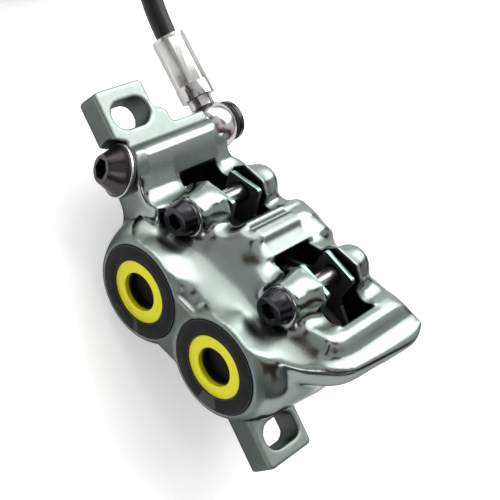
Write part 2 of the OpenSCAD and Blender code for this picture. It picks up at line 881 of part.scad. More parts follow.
// The hose leaves straight, bends once towards the coil and joins its outer turn
bend_x = -52.5;
bend_z = port_z + (bend_x + port_x) * tan(hose_tilt);
join_r = coil_out + 0.8;
join_dx = bend_x - coil_x;
join_dy = eye_mid - coil_y;
bend_r = (join_dx * join_dx + join_dy * join_dy - join_r * join_r) / (2 * (join_r - join_dy));
sweep = asin(join_dx / (bend_r + join_r));
function coil_radius(t) = coil_in + coil_turn * abs(t % (2 * layer_laps) - layer_laps);
function rise(part) = bend_z + (coil_high - bend_z) * part * part * (3 - 2 * part);
bend_share = bend_r / (bend_r + join_r);
bend_steps = 8;
bend = [for (i = [0:bend_steps]) let(a = sweep * i / bend_steps)
    [bend_x - bend_r * sin(a), eye_mid + bend_r * (1 - cos(a)), rise(bend_share * i / bend_steps)]];
joining = [for (i = [1:bend_steps - 1]) let(a = 90 - sweep * (1 - i / bend_steps), r = coil_radius((a - 90) / 360))
    [coil_x + r * cos(a), coil_y + r * sin(a), rise(bend_share + (1 - bend_share) * i / bend_steps)]];
hose_start = [-port_x - (sleeve_at + 0.3) * cos(hose_tilt), eye_mid, port_z - (sleeve_at + 0.3) * sin(hose_tilt)];
hose_mouth = [-port_x - mouth_at * cos(hose_tilt), eye_mid, port_z - mouth_at * sin(hose_tilt)];
route = concat([hose_start, (hose_start + hose_mouth) / 2], bend, joining,
    [for (x = [0.8, 0.05]) [coil_x + coil_lead + x, coil_y + coil_out, coil_high]]);

// Sweeps a round tube along points whose course stays near one plane
function unit(v) = v / norm(v);
function course(p, i) = unit(p[min(i + 1, len(p) - 1)] - p[max(i - 1, 0)]);
function hoop(c, t, up, r, sides) =
    let(a = unit(cross(up, t)), b = cross(t, a))
    [for (k = [0:sides - 1]) c + r * cos(360 * k / sides) * a + r * sin(360 * k / sides) * b];
module tube(path, r, sides, up) {
    n = len(path);
    points = [for (i = [0:n - 1]) each hoop(path[i], course(path, i), up, r, sides)];
    walls = [for (i = [0:n - 2], k = [0:sides - 1])
        let(a = i * sides + k, b = i * sides + (k + 1) % sides)
        each [[a, b, a + sides], [b, b + sides, a + sides]]];
    ends = [[for (k = [0:sides - 1]) sides - 1 - k], [for (k = [0:sides - 1]) (n - 1) * sides + k]];
    polyhedron(points, concat(walls, ends), convexity = 10);
}

module brake_hose() {
    color([0.06, 0.06, 0.07]) tube(route, hose_r, 10, [0, 1, 0]);
}

// Coil: each layer winds in or out, and half a lap leads down to the next one
steps_per_lap = 24;
climb = 0.5;
function step_down(t, k) =
    let(part = min(max((t - k * layer_laps) / climb + 0.5, 0), 1))
    coil_turn * part * part * (3 - 2 * part);
function coil_height(t) = coil_high - step_down(t, 1) - step_down(t, 2) - step_down(t, 3);
function coil_point(t) =
    let(a = 90 + 360 * t, r = coil_radius(t))
    [coil_x + r * cos(a), coil_y + r * sin(a), coil_height(t)];
lever_len = 25.5;
nut_lift = 1.9;
coil_end = coil_point(laps_total);
coil_laps = [for (i = [0:laps_total * steps_per_lap]) coil_point(i / steps_per_lap)];
coil_path = concat([[coil_x + coil_lead, coil_y + coil_out, coil_high]], coil_laps,
    [for (part = [0.15, 0.3, 0.45]) coil_end + [lever_len * part, 0, nut_lift * (0.5 - 0.5 * cos(400 * part))],
        coil_end + [lever_len, 0, nut_lift]]);

// Length of the whole hose and the least gap between the coil's turns, measured on its points
function path_length(p, i = 0) = i >= len(p) - 1 ? 0 : norm(p[i + 1] - p[i]) + path_length(p, i + 1);
far_apart = steps_per_lap / 2;
least_gap = min([for (i = [0:len(coil_laps) - 1]) for (j = [i + far_apart:1:len(coil_laps) - 1])
    norm(coil_laps[i] - coil_laps[j])]) - hose_d;
echo(hose_length = path_length(route) + path_length(coil_path), least_gap = least_gap);

module hose_coil() {
    color([0.06, 0.06, 0.07]) tube(coil_path, hose_r, 6, [0, 0, 1]);
}

// Strap round all layers of the coil, at its side away from the caliper
module coil_tie() {
    wide = 4;
    strap = 0.4;
    slack = 0.4;
    r0 = coil_in - hose_r - slack;
    r1 = coil_out + hose_r + slack;
    z0 = coil_low - hose_r;
    z1 = coil_high + hose_r;
    color([0.1, 0.1, 0.1]) translate([coil_x, coil_y, 0]) rotate([0, 0, 135])
        translate([0, wide / 2, 0]) rotate([90, 0, 0]) linear_extrude(wide) difference() {
            translate([r0 - strap, z0 - strap]) square([r1 - r0 + 2 * strap, z1 - z0 + 2 * strap]);
            translate([r0, z0]) square([r1 - r0, z1 - z0]);
        }
}

// Lever end of the hose: the nut and olive that the lever takes, and the flange of the pressed insert
module lever_end(at) {
    translate(coil_end + [at, 0, nut_lift]) rotate([0, 90, 0]) children();
}

nut_len = 9;
olive_len = 4;
nut_at = lever_len - olive_len - nut_len;

module hose_nut() {
    color([0.1, 0.1, 0.1]) lever_end(nut_at) difference() {
        union() {
            cylinder(h = 4, r = 4.6, $fn = 6);
            cylinder(h = nut_len, r = 3.9);
        }
        translate([0, 0, -1]) cylinder(h = nut_len + 2, r = hose_r + fit_gap);
    }
}

module hose_olive() {
    color([0.78, 0.62, 0.28]) lever_end(nut_at + nut_len) difference() {
        union() {
            cylinder(h = olive_len / 2, r1 = 3.1, r2 = 3.7);
            translate([0, 0, olive_len / 2]) cylinder(h = olive_len / 2, r1 = 3.7, r2 = 3.1);
        }
        translate([0, 0, -1]) cylinder(h = olive_len + 2, r = hose_r + fit_gap);
    }
}

module hose_insert() {
    color([0.78, 0.66, 0.34]) lever_end(lever_len) difference() {
        cylinder(h = 1.2, r = hose_r + 0.3);
        translate([0, 0, -1]) cylinder(h = 4, r = 1);
    }
}

caliper_body();
bore_cap(-1);  // bore_cap_upper
bore_cap(1);  // bore_cap_lower
cap_ring(-1);  // cap_ring_upper
cap_ring(1);  // cap_ring_lower
cap_seals();
piston(-1, -1);  // piston_near_upper
piston(-1, 1);  // piston_near_lower
piston(1, -1);  // piston_far_upper
piston(1, 1);  // piston_far_lower
piston_seals();
magnet(-1, -1);  // magnet_near_upper
magnet(-1, 1);  // magnet_near_lower
magnet(1, -1);  // magnet_far_upper
magnet(1, 1);  // magnet_far_lower
pad_plate(-1, -1);  // pad_plate_near_upper
pad_plate(-1, 1);  // pad_plate_near_lower
pad_plate(1, -1);  // pad_plate_far_upper
pad_plate(1, 1);  // pad_plate_far_lower
pad_lining(-1, -1);  // pad_lining_near_upper
pad_lining(-1, 1);  // pad_lining_near_lower
pad_lining(1, -1);  // pad_lining_far_upper
pad_lining(1, 1);  // pad_lining_far_lower
pad_bolts();
bleed_screw();
bleed_washer();
bleed_seal();
banjo_fitting();
banjo_bolt();
banjo_inner_seal();
banjo_outer_seal();
crimp_sleeve();
hose_barb();
brake_hose();
hose_coil();
coil_tie();
hose_nut();
hose_olive();
hose_insert();
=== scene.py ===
import json
import math
import bpy
import numpy as np
from mathutils import Matrix, Vector


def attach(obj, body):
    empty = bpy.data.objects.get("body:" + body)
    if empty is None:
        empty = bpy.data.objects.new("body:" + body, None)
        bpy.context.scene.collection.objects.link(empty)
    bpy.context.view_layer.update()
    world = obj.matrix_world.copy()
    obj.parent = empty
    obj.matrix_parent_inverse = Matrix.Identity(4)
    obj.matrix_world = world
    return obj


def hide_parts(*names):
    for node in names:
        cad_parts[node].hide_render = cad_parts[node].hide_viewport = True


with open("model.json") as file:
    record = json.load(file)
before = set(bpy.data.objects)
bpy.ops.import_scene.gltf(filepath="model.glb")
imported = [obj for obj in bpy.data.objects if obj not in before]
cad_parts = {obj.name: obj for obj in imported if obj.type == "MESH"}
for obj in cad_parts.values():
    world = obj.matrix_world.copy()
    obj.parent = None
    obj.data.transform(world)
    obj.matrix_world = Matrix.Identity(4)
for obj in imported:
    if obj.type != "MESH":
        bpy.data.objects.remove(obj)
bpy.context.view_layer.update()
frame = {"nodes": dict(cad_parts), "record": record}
scene = bpy.context.scene
scene.view_settings.view_transform = "Standard"
mm = 0.001

# camera, solved from the mounting slots, caps and bolt heads seen in the photo
view = {
    "lens": 75.79,
    "sensor": 36,
    "near": 0.01,
    "place": (-0.0095564, -0.139562, 0.178635),
    "turn": (0.328514, -0.661924, 1.002218),
}
camData = bpy.data.cameras.new("photoCamera")
camData.lens = view["lens"]
camData.sensor_width = view["sensor"]
camData.clip_start = view["near"]
cam = bpy.data.objects.new("photoCamera", camData)
cam.location = view["place"]
cam.rotation_euler = view["turn"]
scene.collection.objects.link(cam)
scene.camera = cam
print("camera set")


# small helpers used by every piece
def deselectAll():
    for obj in list(bpy.context.selected_objects):
        obj.select_set(False)


def pick(obj):
    deselectAll()
    obj.select_set(True)
    bpy.context.view_layer.objects.active = obj


def useModifier(obj, kind, **values):
    mod = obj.modifiers.new(kind.lower(), kind)
    for key, value in values.items():
        setattr(mod, key, value)
    pick(obj)
    bpy.ops.object.modifier_apply(modifier=mod.name)


def joinInto(main, others):
    deselectAll()
    for obj in others:
        obj.select_set(True)
    main.select_set(True)
    bpy.context.view_layer.objects.active = main
    bpy.ops.object.join()


copyWays = {"weld": 1e-7, "flat": 0.6, "bevelFrom": 32, "smoothUnder": 38}  # metres, then degrees


def copyNode(nodeName, pieceName):  # a merged copy of a CAD node, with its flat faces made whole
    mesh = frame["nodes"][nodeName].data.copy()
    mesh.materials.clear()
    obj = bpy.data.objects.new(pieceName, mesh)
    scene.collection.objects.link(obj)
    pick(obj)
    bpy.ops.object.mode_set(mode="EDIT")
    bpy.ops.mesh.select_all(action="SELECT")
    bpy.ops.mesh.remove_doubles(threshold=copyWays["weld"])
    bpy.ops.mesh.dissolve_limited(angle_limit=math.radians(copyWays["flat"]))
    bpy.ops.object.mode_set(mode="OBJECT")
    return obj


def bodyOf(nodeName):
    for body, members in frame["record"]["behaviour"]["bodies"].items():
        if nodeName in members:
            return body


def finishPiece(obj, nodeName, *materials):  # rides, replaces and gets its finish
    for material in materials:
        obj.data.materials.append(material)
    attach(obj, bodyOf(nodeName))
    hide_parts(nodeName)
    return obj


def softEdges(nodeName, pieceName, edge, *materials, limit=copyWays["bevelFrom"]):  # edge is its width and steps
    width, segments = edge
    obj = copyNode(nodeName, pieceName)
    useModifier(obj, "BEVEL", width=width * mm, segments=segments, limit_method="ANGLE",
                angle_limit=math.radians(limit), material=len(materials) - 1, harden_normals=False)
    bpy.ops.object.shade_smooth_by_angle(angle=math.radians(copyWays["smoothUnder"]))
    return finishPiece(obj, nodeName, *materials)


# helpers for materials
def newGroup(name, inputs, outputs):
    tree = bpy.data.node_groups.new(name, "ShaderNodeTree")
    for label, kind, value in inputs:
        socket = tree.interface.new_socket(label, in_out="INPUT", socket_type=kind)
        socket.default_value = value
    for label, kind in outputs:
        tree.interface.new_socket(label, in_out="OUTPUT", socket_type=kind)
    return tree, tree.nodes.new("NodeGroupInput"), tree.nodes.new("NodeGroupOutput")


def setInputs(node, values):  # From_Min stands for the socket From Min
    for key, value in values.items():
        node.inputs[key.replace("_", " ")].default_value = value


def addNode(tree, kind, **values):  # values are sockets, and the node's own settings
    node = tree.nodes.new(kind)
    for key, value in values.items():
        if key.replace("_", " ") in node.inputs:
            setInputs(node, {key: value})
        else:
            setattr(node, key, value)
    return node


def wire(tree, *pairs):
    for source, target in pairs:
        tree.links.new(source, target)


mixSockets = {"FLOAT": (2, 3, 0), "RGBA": (6, 7, 2)}  # a Mix node's two inputs and its output, by data type


def addMix(tree, kind, factor, first, second, **values):  # each of the three is a socket or a plain value
    mix = addNode(tree, "ShaderNodeMix", data_type=kind, **values)
    a, b, out = mixSockets[kind]
    for socket, value in ((mix.inputs["Factor"], factor), (mix.inputs[a], first), (mix.inputs[b], second)):
        if isinstance(value, bpy.types.NodeSocket):
            wire(tree, (value, socket))
        else:
            socket.default_value = value
    return mix.outputs[out]


def addBump(tree, shader, height, strength, distance):
    bump = addNode(tree, "ShaderNodeBump", Strength=strength, Distance=distance)
    wire(tree, (height, bump.inputs["Height"]), (bump.outputs["Normal"], shader.inputs["Normal"]))
    return bump


def ramp(tree, stops, source):
    node = addNode(tree, "ShaderNodeValToRGB")
    marks = node.color_ramp.elements
    for mark, (at, colour) in ((marks[0], stops[0]), (marks[1], stops[-1])):
        mark.position = at
        mark.color = (*colour, 1)
    for at, colour in stops[1:-1]:
        marks.new(at).color = (*colour, 1)
    wire(tree, (source, node.inputs["Fac"]))
    return node


# grain: two sizes of noise on object coordinates, given as colour, roughness and height
grain = {"fineDetail": 5.0, "fineRough": 0.65, "wideDetail": 3.0, "wideRough": 0.5, "wideShare": 0.14,
         "spread": (0.3, 0.7), "depth": 0.0002, "fineDepth": 0.0001}
grainTree, grainIn, grainOut = newGroup("surfaceGrain", [
    ("Size", "NodeSocketFloat", 900.0), ("Base", "NodeSocketColor", (0.5, 0.5, 0.5, 1)),
    ("Dark", "NodeSocketColor", (0.4, 0.4, 0.4, 1)), ("Rough low", "NodeSocketFloat", 0.2),
    ("Rough high", "NodeSocketFloat", 0.3)],
    [("Color", "NodeSocketColor"), ("Roughness", "NodeSocketFloat"), ("Height", "NodeSocketFloat")])
place = addNode(grainTree, "ShaderNodeTexCoord")
fineNoise = addNode(grainTree, "ShaderNodeTexNoise", Detail=grain["fineDetail"], Roughness=grain["fineRough"])
wideNoise = addNode(grainTree, "ShaderNodeTexNoise", Detail=grain["wideDetail"], Roughness=grain["wideRough"])
wideSize = addNode(grainTree, "ShaderNodeMath", operation="MULTIPLY")
wideSize.inputs[1].default_value = grain["wideShare"]
roughSpread = addNode(grainTree, "ShaderNodeMapRange", From_Min=grain["spread"][0], From_Max=grain["spread"][1])
grainColour = addMix(grainTree, "RGBA", wideNoise.outputs["Fac"], grainIn.outputs["Base"], grainIn.outputs["Dark"])
wire(grainTree,
     (grainIn.outputs["Size"], fineNoise.inputs["Scale"]),
     (grainIn.outputs["Size"], wideSize.inputs[0]),
     (wideSize.outputs[0], wideNoise.inputs["Scale"]),
     (place.outputs["Object"], fineNoise.inputs["Vector"]),
     (place.outputs["Object"], wideNoise.inputs["Vector"]),
     (fineNoise.outputs["Fac"], roughSpread.inputs["Value"]),
     (grainIn.outputs["Rough low"], roughSpread.inputs["To Min"]),
     (grainIn.outputs["Rough high"], roughSpread.inputs["To Max"]),
     (grainColour, grainOut.inputs["Color"]),
     (roughSpread.outputs[0], grainOut.inputs["Roughness"]),
     (fineNoise.outputs["Fac"], grainOut.inputs["Height"]))

# lathe rings round an axis along Y through a given centre, as turning leaves them
ringTree, ringIn, ringOut = newGroup("latheRings", [
    ("Centre", "NodeSocketVector", (0, 0, 0)), ("Pitch", "NodeSocketFloat", 6000.0)],
    [("Height", "NodeSocketFloat")])
place = addNode(ringTree, "ShaderNodeTexCoord")
fromCentre = addNode(ringTree, "ShaderNodeVectorMath", operation="SUBTRACT")
flat = addNode(ringTree, "ShaderNodeVectorMath", operation="MULTIPLY")
flat.inputs[1].default_value = (1, 0, 1)
radius = addNode(ringTree, "ShaderNodeVectorMath", operation="LENGTH")
phase = addNode(ringTree, "ShaderNodeMath", operation="MULTIPLY")
wave = addNode(ringTree, "ShaderNodeMath", operation="SINE")
wire(ringTree,
     (place.outputs["Object"], fromCentre.inputs[0]),
     (ringIn.outputs["Centre"], fromCentre.inputs[1]),
     (fromCentre.outputs[0], flat.inputs[0]),
     (flat.outputs[0], radius.inputs[0]),
     (radius.outputs["Value"], phase.inputs[0]),
     (ringIn.outputs["Pitch"], phase.inputs[1]),
     (phase.outputs[0], wave.inputs[0]),
     (wave.outputs[0], ringOut.inputs["Height"]))

# wear: a patchy mask for rubbed rims and handled spots
wear = {"size": 500.0, "detail": 4.0, "rough": 0.6, "softness": 0.12, "skinRough": 0.34, "bareRough": 0.2}
wearTree, wearIn, wearOut = newGroup("rubbedWear", [
    ("Size", "NodeSocketFloat", wear["size"]), ("Amount", "NodeSocketFloat", 0.5)], [("Mask", "NodeSocketFloat")])
place = addNode(wearTree, "ShaderNodeTexCoord")
patchNoise = addNode(wearTree, "ShaderNodeTexNoise", Detail=wear["detail"], Roughness=wear["rough"])
wornFrom = addNode(wearTree, "ShaderNodeMath", operation="SUBTRACT")
wornFrom.inputs[0].default_value = 1.0
wornFull = addNode(wearTree, "ShaderNodeMath", operation="ADD")
wornFull.inputs[1].default_value = wear["softness"]
wornMask = addNode(wearTree, "ShaderNodeMapRange")
wire(wearTree,
     (wearIn.outputs["Size"], patchNoise.inputs["Scale"]),
     (place.outputs["Object"], patchNoise.inputs["Vector"]),
     (wearIn.outputs["Amount"], wornFrom.inputs[1]),
     (wornFrom.outputs[0], wornMask.inputs["From Min"]),
     (wornFrom.outputs[0], wornFull.inputs[0]),
     (wornFull.outputs[0], wornMask.inputs["From Max"]),
     (patchNoise.outputs["Fac"], wornMask.inputs["Value"]),
     (wornMask.outputs[0], wearOut.inputs["Mask"]))
print("shared shader groups built")


def newMaterial(name):
    material = bpy.data.materials.new(name)
    material.use_nodes = True
    return material, material.node_tree, material.node_tree.nodes["Principled BSDF"]


def useGroup(tree, group, **values):
    node = tree.nodes.new("ShaderNodeGroup")
    node.node_tree = group
    setInputs(node, values)
    return node


def useGrain(tree, base, dark, rough, size):
    return useGroup(tree, grainTree, Size=size, Base=(*base, 1), Dark=(*dark, 1), Rough_low=rough[0],
                    Rough_high=rough[1])


def plainFinish(name, metallic, base, dark, rough, size=900.0, bump=0.02, **extra):
    material, tree, shader = newMaterial(name)
    grained = useGrain(tree, base, dark, rough, size)
    wire(tree, (grained.outputs["Color"], shader.inputs["Base Color"]),
         (grained.outputs["Roughness"], shader.inputs["Roughness"]))
    addBump(tree, shader, grained.outputs["Height"], bump, grain["depth"])
    setInputs(shader, {"Metallic": metallic, **extra})
    return material


def turnedFinish(name, centre, metallic, base, dark, rough, pitch, ringBump):  # plain finish with lathe rings
    material = plainFinish(name, metallic, base, dark, rough, bump=0.015)
    tree = material.node_tree
    shader = tree.nodes["Principled BSDF"]
    rings = useGroup(tree, ringTree, Centre=centre, Pitch=pitch)
    grainNormal = shader.inputs["Normal"].links[0].from_socket
    bump = addBump(tree, shader, rings.outputs["Height"], ringBump, grain["fineDepth"])
    wire(tree, (grainNormal, bump.inputs["Normal"]))
    return material


def wornFinish(name, under, over, amount):  # dark skin rubbed through to bright metal
    material, tree, shader = newMaterial(name)
    worn = useGroup(tree, wearTree, Size=wear["size"], Amount=amount)
    colour = addMix(tree, "RGBA", worn.outputs["Mask"], (*over, 1), (*under, 1))
    rough = addNode(tree, "ShaderNodeMapRange", To_Min=wear["skinRough"], To_Max=wear["bareRough"])
    wire(tree, (worn.outputs["Mask"], rough.inputs["Value"]), (colour, shader.inputs["Base Color"]),
         (rough.outputs[0], shader.inputs["Roughness"]))
    setInputs(shader, {"Metallic": 1.0})
    return material


# brake hose: one length of 5 mm hose from the crimp sleeve to the lever end, on the solids' own route (mm, degrees)
hose = {
    "radius": 2.5,
    "banjoAt": (-28.6, 23.3, 2), "tilt": 3,  # where the banjo bolt's axis meets the hose's line
    "start": 10.8, "mouth": 22.6, "bendAt": -52.5,
    "coilAt": (-106, 8, -12), "turn": 5.5, "inner": 22.45, "laps": 5.5, "layers": 4, "joinGap": 0.8,
    "bendSteps": 12, "lapSteps": 60, "climbLaps": 0.5,
    "leverEnd": 25.5, "nutLift": 1.9, "nutTurn": 400,
    "jacket": {"metallic": 0.0, "base": (0.004, 0.004, 0.005), "dark": (0.007, 0.007, 0.008), "rough": (0.36, 0.5),
               "size": 1400, "bump": 0.05, "Specular_IOR_Level": 0.3},
}


def hoseRoute():
    tilt = math.radians(hose["tilt"])
    banjoX, mid, banjoZ = hose["banjoAt"]
    cx, cy, low = hose["coilAt"]
    steps = hose["bendSteps"]
    perLayer = hose["laps"] / hose["layers"]
    high = low + (hose["layers"] - 1) * hose["turn"]

    def coilRadius(lap):
        return hose["inner"] + hose["turn"] * abs(math.fmod(lap, 2 * perLayer) - perLayer)

    def ease01(v):
        v = min(max(v, 0), 1)
        return v * v * (3 - 2 * v)

    def onCoil(lap, angle, z):
        r = coilRadius(lap)
        return cx + r * math.cos(angle), cy + r * math.sin(angle), z

    points = [(banjoX - at * math.cos(tilt), mid, banjoZ - at * math.sin(tilt))
              for at in (hose["start"], (hose["start"] + hose["mouth"]) / 2)]
    bendZ = banjoZ + (hose["bendAt"] - banjoX) * math.tan(tilt)
    joinR = hose["inner"] + perLayer * hose["turn"] + hose["joinGap"]
    dx, dy = hose["bendAt"] - cx, mid - cy
    bendR = (dx * dx + dy * dy - joinR * joinR) / (2 * (joinR - dy))
    sweep = math.asin(dx / (bendR + joinR))
    bendShare = bendR / (bendR + joinR)
    for i in range(steps + 1):  # one easy bend up towards the coil's top layer
        a = sweep * i / steps
        points.append((hose["bendAt"] - bendR * math.sin(a), mid + bendR * (1 - math.cos(a)),
                       bendZ + (high - bendZ) * ease01(bendShare * i / steps)))
    for i in range(1, steps):  # onto the top layer
        a = math.pi / 2 - sweep * (1 - i / steps)
        rise = ease01(bendShare + (1 - bendShare) * i / steps)
        points.append(onCoil((a - math.pi / 2) / (2 * math.pi), a, bendZ + (high - bendZ) * rise))
    for i in range(int(hose["laps"] * hose["lapSteps"]) + 1):  # in and out again, a layer down at each reversal
        lap = i / hose["lapSteps"]
        down = sum(ease01((lap - k * perLayer) / hose["climbLaps"] + 0.5) for k in range(1, hose["layers"]))
        points.append(onCoil(lap, math.pi / 2 + 2 * math.pi * lap, high - hose["turn"] * down))
    end = points[-1]
    for part in (0.15, 0.3, 0.45, 1.0):  # the lever end lies straight out, its nut on the floor
        lift = hose["nutLift"] * (0.5 - 0.5 * math.cos(math.radians(min(hose["nutTurn"] * part, 180))))
        points.append((end[0] + hose["leverEnd"] * part, end[1], end[2] + lift))
    return [Vector(point) * mm for point in points]


route = hoseRoute()
hoseCurve = bpy.data.curves.new("brakeHose", "CURVE")
hoseCurve.dimensions = "3D"
line = hoseCurve.splines.new("POLY")
line.points.add(len(route) - 1)
for point, at in zip(line.points, route):
    point.co = (*at, 1)
hoseCurve.bevel_depth = hose["radius"] * mm
hoseCurve.bevel_resolution = 4
hoseCurve.use_fill_caps = True
hoseCurve.materials.append(plainFinish("hoseJacket", **hose["jacket"]))
hosePiece = bpy.data.objects.new("brakeHose", hoseCurve)
scene.collection.objects.link(hosePiece)
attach(hosePiece, "caliper")
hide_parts("brake_hose", "hose_coil")

# caliper body: forged, polished on its sculpted side, milled on ears, flange rims and windows
# its leaning frame (mm): lx along the body to its low end, ly across the rotor, lz away from the rotor's centre
bodyShape = {
    "lean": 31.5, "frameAt": (7.4, 0, 5.7),
    "boreX": 11.5, "rotorY": 10.4, "boltX": 13.77, "boltZ": 15.33,
    "voxel": 0.34, "fillSmooth": 160, "smoothAll": 3, "smoothForged": 56, "smoothEnds": 110,
}
lean = math.radians(bodyShape["lean"])
turnBack = Matrix.Translation(Vector(bodyShape["frameAt"]) * mm) @ Matrix.Rotation(-lean, 4, "Y")
boreSides = (-bodyShape["boreX"], bodyShape["boreX"])
boltSides = (-bodyShape["boltX"], bodyShape["boltX"])


def meshArray(obj, key):
    values = np.empty(len(obj.data.vertices) * 3)
    obj.data.vertices.foreach_get(key, values)
    return values.reshape(-1, 3)


def ease(v, low, high):
    t = np.clip((v - low) / (high - low), 0, 1)
    return t * t * (3 - 2 * t)


def localPlaces(obj):
    co = meshArray(obj, "co") / mm
    away = co - np.array(bodyShape["frameAt"])
    return co, away[:, 0] * math.cos(lean) + away[:, 2] * math.sin(lean), co[:, 1], (
        -away[:, 0] * math.sin(lean) + away[:, 2] * math.cos(lean))


def setWeights(obj, name, weights):  # a vertex group in ten steps
    group = obj.vertex_groups.get(name) or obj.vertex_groups.new(name=name)
    for level in range(1, 11):
        chosen = np.nonzero(np.round(weights * 10).astype(int) == level)[0]
        if len(chosen):
            group.add(chosen.tolist(), level / 10, "REPLACE")


def remeshBody():
    useModifier(body, "REMESH", mode="VOXEL", voxel_size=bodyShape["voxel"] * mm, use_smooth_shade=True)


def smoothBody(obj, passes, group=""):
    useModifier(obj, "SMOOTH", factor=0.5, iterations=bodyShape[passes], vertex_group=group)


def leaningBlock(near, far):  # a closed prism between two outlines of the leaning frame
    deselectAll()
    bpy.ops.mesh.primitive_cylinder_add(vertices=len(near), radius=1, depth=2)
    block = bpy.context.object
    low = sorted(v.index for v in block.data.vertices if v.co.z < 0)
    high = sorted(v.index for v in block.data.vertices if v.co.z > 0)
    for i, at in zip(low + high, near + far):
        block.data.vertices[i].co = Vector(at) * mm
    block.data.transform(turnBack)
    pick(block)
    bpy.ops.object.mode_set(mode="EDIT")
    bpy.ops.mesh.select_all(action="SELECT")
    bpy.ops.mesh.normals_make_consistent(inside=False)
    bpy.ops.object.mode_set(mode="OBJECT")
    return block


# square-shouldered bosses over the pad bolts, narrower and lower towards their fronts
bossShape = {
    "x": 13.9, "width": 10.8, "foot": 6.0, "top": 19.9, "facet": 2.5, "frontShare": 0.84,
    "near": {"y": (-1.6, 4.98), "drop": 0.5},
    "far": {"y": (21.0, 15.82), "drop": 0.9},
}


def bossEnd(bx, y, share, drop):
    half, facet = bossShape["width"] / 2 * share, bossShape["facet"]
    foot, top = bossShape["foot"], bossShape["top"] - drop
    outline = ((-half, foot), (half, foot), (half, top - facet), (half - facet, top), (facet - half, top),
               (-half, top - facet))
    return [(bx + x, y, z) for x, z in outline]


def bossBlock(bx, side):
    front, root = side["y"]
    return leaningBlock(bossEnd(bx, front, bossShape["frontShare"], side["drop"]), bossEnd(bx, root, 1.0, 0.0))


# the saddle fills the crease between the barrels, and leaves the cap seats and bores open
saddleShape = {
    "halfWidth": 14.0, "openRadius": 10.9,
    "line": ((-10.8, 6.0), (-10.8, 9.3), (-9.0, 9.8), (-6.0, 10.9), (-3.0, 12.3), (0.0, 14.2), (4.9, 14.4),
             (4.9, 6.0)),
}


def saddleBlock():
    half = saddleShape["halfWidth"]
    saddle = leaningBlock(*([(x, y, z) for y, z in saddleShape["line"]] for x in (-half, half)))
    for cx in boreSides:
        deselectAll()
        bpy.ops.mesh.primitive_cylinder_add(vertices=64, radius=saddleShape["openRadius"] * mm, depth=40 * mm)
        cutter = bpy.context.object
        cutter.data.transform(turnBack @ Matrix.Translation((cx * mm, 0, 0)) @ Matrix.Rotation(math.pi / 2, 4, "X"))
        useModifier(saddle, "BOOLEAN", operation="DIFFERENCE", object=cutter, solver="EXACT")
        bpy.data.objects.remove(cutter)
    return saddle


# the low ear's far edge beside its slot, which the pad space cuts in the solid
earEdge = {"middle": (35.4, 5.5, 3.2), "size": (6.8, 1.8, 6.4)}


def earEdgeBlock():
    deselectAll()
    bpy.ops.mesh.primitive_cube_add(size=1)
    block = bpy.context.object
    block.data.transform(Matrix.Translation([v * mm for v in earEdge["middle"]])
                         @ Matrix.Diagonal([v * mm for v in earEdge["size"]] + [1]))
    return block


body = copyNode("caliper_body", "forgedBody")
blocks = [bossBlock(bx, bossShape[side]) for bx in (-bossShape["x"], bossShape["x"]) for side in ("near", "far")]
joinInto(body, blocks + [saddleBlock(), earEdgeBlock()])
remeshBody()
print("body joined with its bosses and saddle")

# where the skin may flow: pairs run from still to flowing (mm)
flow = {
    "flangeRim": (-12.4, -11.4),
    "capSeat": (10.9, 11.5), "capSeatTo": -8.6,
    "nearBore": (9.2, 9.9), "nearBoreTo": 5.5,
    "farBore": (9.2, 10.2), "farBoreFrom": 15.3,
    "windows": ((-27.5, -24.9, -6.2, -4.6), (2.8, 4.3, 24.9, 27)), "windowLip": (6.0, 7.2),
    "cavityWall": (5.4, 6.1), "cavityHalf": 26, "cavityTop": 20,
    "banjoSeat": 7.2, "banjoSeatBetween": (-3, 17),
    "boltSeat": 3.2, "boltSeatTo": 5, "boltSeatShare": 0.1,
    "highEar": -31.5, "highEarFoot": (-27, 7.2), "lowEar": (20, 7.6, 12),
}


def earMask(co):
    lowX, lowZ, lowHalf = flow["lowEar"]
    footX, footZ = flow["highEarFoot"]
    return (co[:, 0] < flow["highEar"]) | (
        (co[:, 2] < lowZ) & (co[:, 0] > lowX) & (np.abs(co[:, 1]) < lowHalf)) | (
        (co[:, 2] < footZ) & (co[:, 0] < footX))


def markForged(obj):  # how far each place may flow: none on ears, flange rims, bores, seats and window lips
    co, lx, ly, lz = localPlaces(obj)
    fromRotor = np.abs(ly - bodyShape["rotorY"])
    forged = ease(ly, *flow["flangeRim"])
    for cx in boreSides:
        r = np.hypot(lx - cx, lz)
        atNear = np.where(ly < flow["nearBoreTo"], ease(r, *flow["nearBore"]), 1)
        forged *= np.where(ly < flow["capSeatTo"], ease(r, *flow["capSeat"]), atNear)
        forged *= np.where(ly > flow["farBoreFrom"], ease(r, *flow["farBore"]), 1)
    inWindow = np.maximum(*(ease(lx, a, b) * (1 - ease(lx, c, d)) for a, b, c, d in flow["windows"]))
    forged *= 1 - (1 - ease(fromRotor, *flow["windowLip"])) * inWindow
    inCavity = np.where((np.abs(lx) < flow["cavityHalf"]) & (lz < flow["cavityTop"]), 1, 0)
    forged *= 1 - (1 - ease(fromRotor, *flow["cavityWall"])) * inCavity
    forged *= np.where(earMask(co), 0, 1)
    banjoX, _, banjoZ = hose["banjoAt"]
    fromBanjo = np.hypot(co[:, 0] - banjoX, co[:, 2] - banjoZ)
    seatFrom, seatTo = flow["banjoSeatBetween"]
    forged *= np.where((fromBanjo < flow["banjoSeat"]) & ((ly > seatTo) | (ly < seatFrom)), 0, 1)
    for bx in boltSides:
        fromBolt = np.hypot(lx - bx, lz - bodyShape["boltZ"])
        forged *= np.where((fromBolt < flow["boltSeat"]) & (ly < flow["boltSeatTo"]), flow["boltSeatShare"], 1)
    setWeights(obj, "forged", forged)
    return forged


